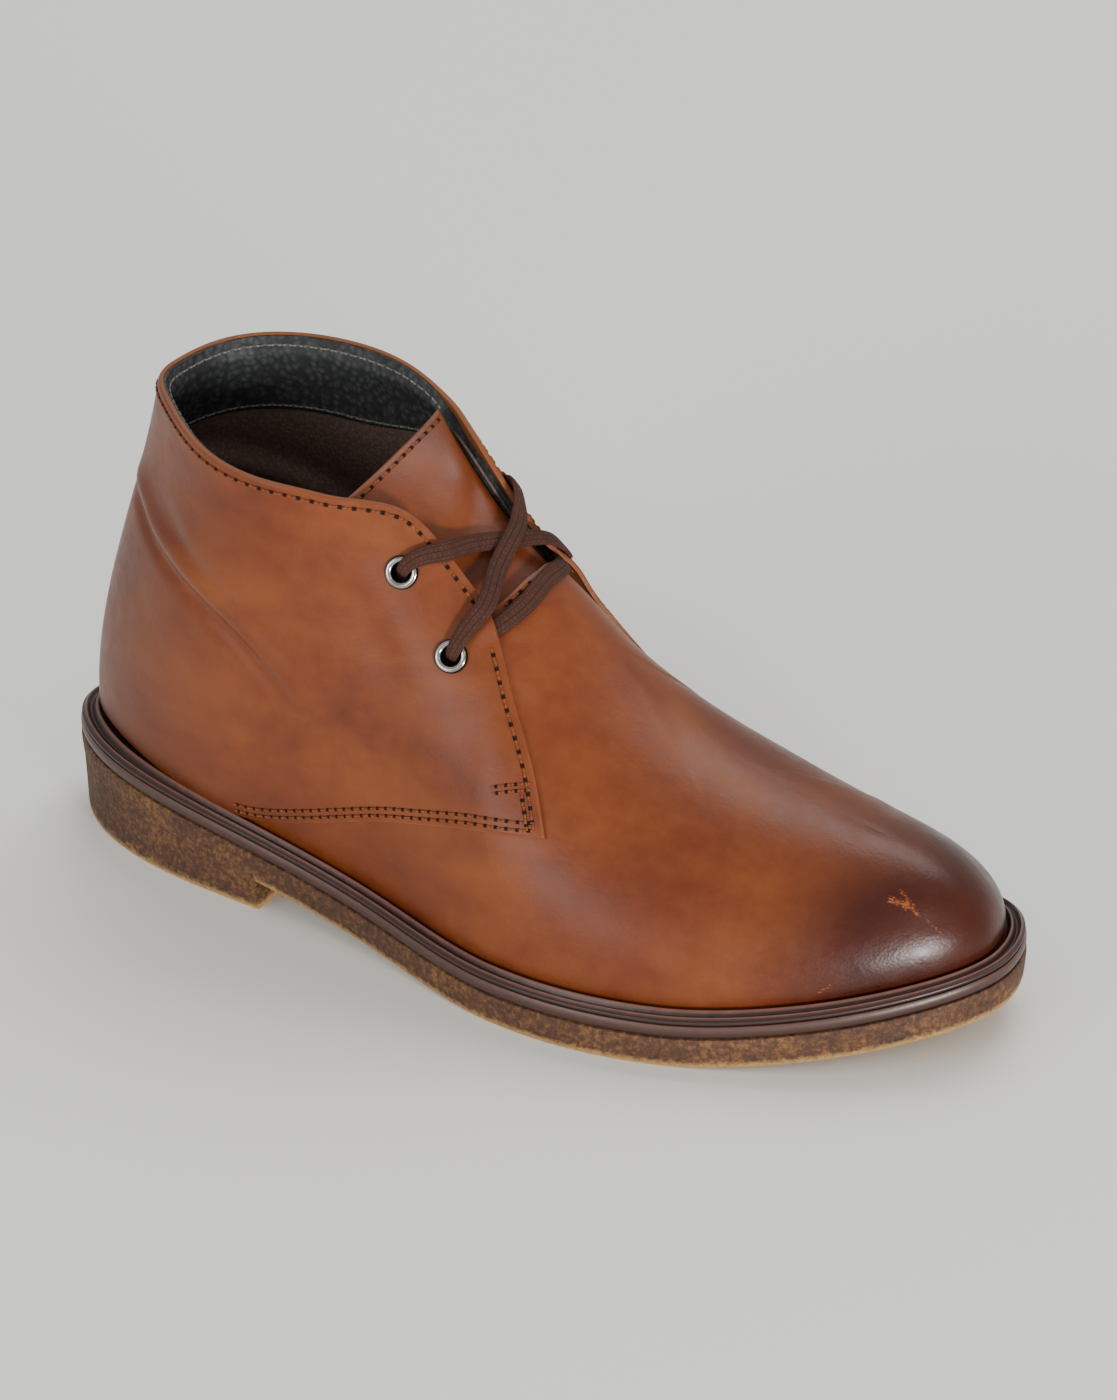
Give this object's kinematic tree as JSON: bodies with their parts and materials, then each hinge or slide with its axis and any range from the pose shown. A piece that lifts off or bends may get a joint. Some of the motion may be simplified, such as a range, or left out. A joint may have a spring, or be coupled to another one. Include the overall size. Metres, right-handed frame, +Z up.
{
  "type": "chukka boot",
  "caption": "Right chukka boot, ankle high: leather upper with laced quarters and tongue, storm welt, midsole and rubber outsole with heel.",
  "frame": {"origin": "middle of the boot's floor rectangle, on the floor", "axes": "+X towards the toe, +Y towards the inner side of the foot, +Z up"},
  "size_m": [0.303, 0.1122, 0.1436],
  "materials": {
    "outsole": "matt, granular",
    "midsole": "satin",
    "welt": "satin",
    "insole": "matt",
    "upper": "burnished, glossy",
    "quarter": "burnished, glossy",
    "tongue": "satin",
    "eyelet": "satin",
    "lace": "matt, woven"
  },
  "bodies": {
    "root": {"outsole": "outsole", "midsole": "midsole", "welt": "welt", "insole": "insole", "upper": "upper", "quarter_outer": "quarter", "quarter_inner": "quarter", "tongue": "tongue", "eyelet_outer_top": "eyelet", "eyelet_outer_low": "eyelet", "eyelet_inner_top": "eyelet", "eyelet_inner_low": "eyelet", "lace": "lace"}
  },
  "joints": []
}
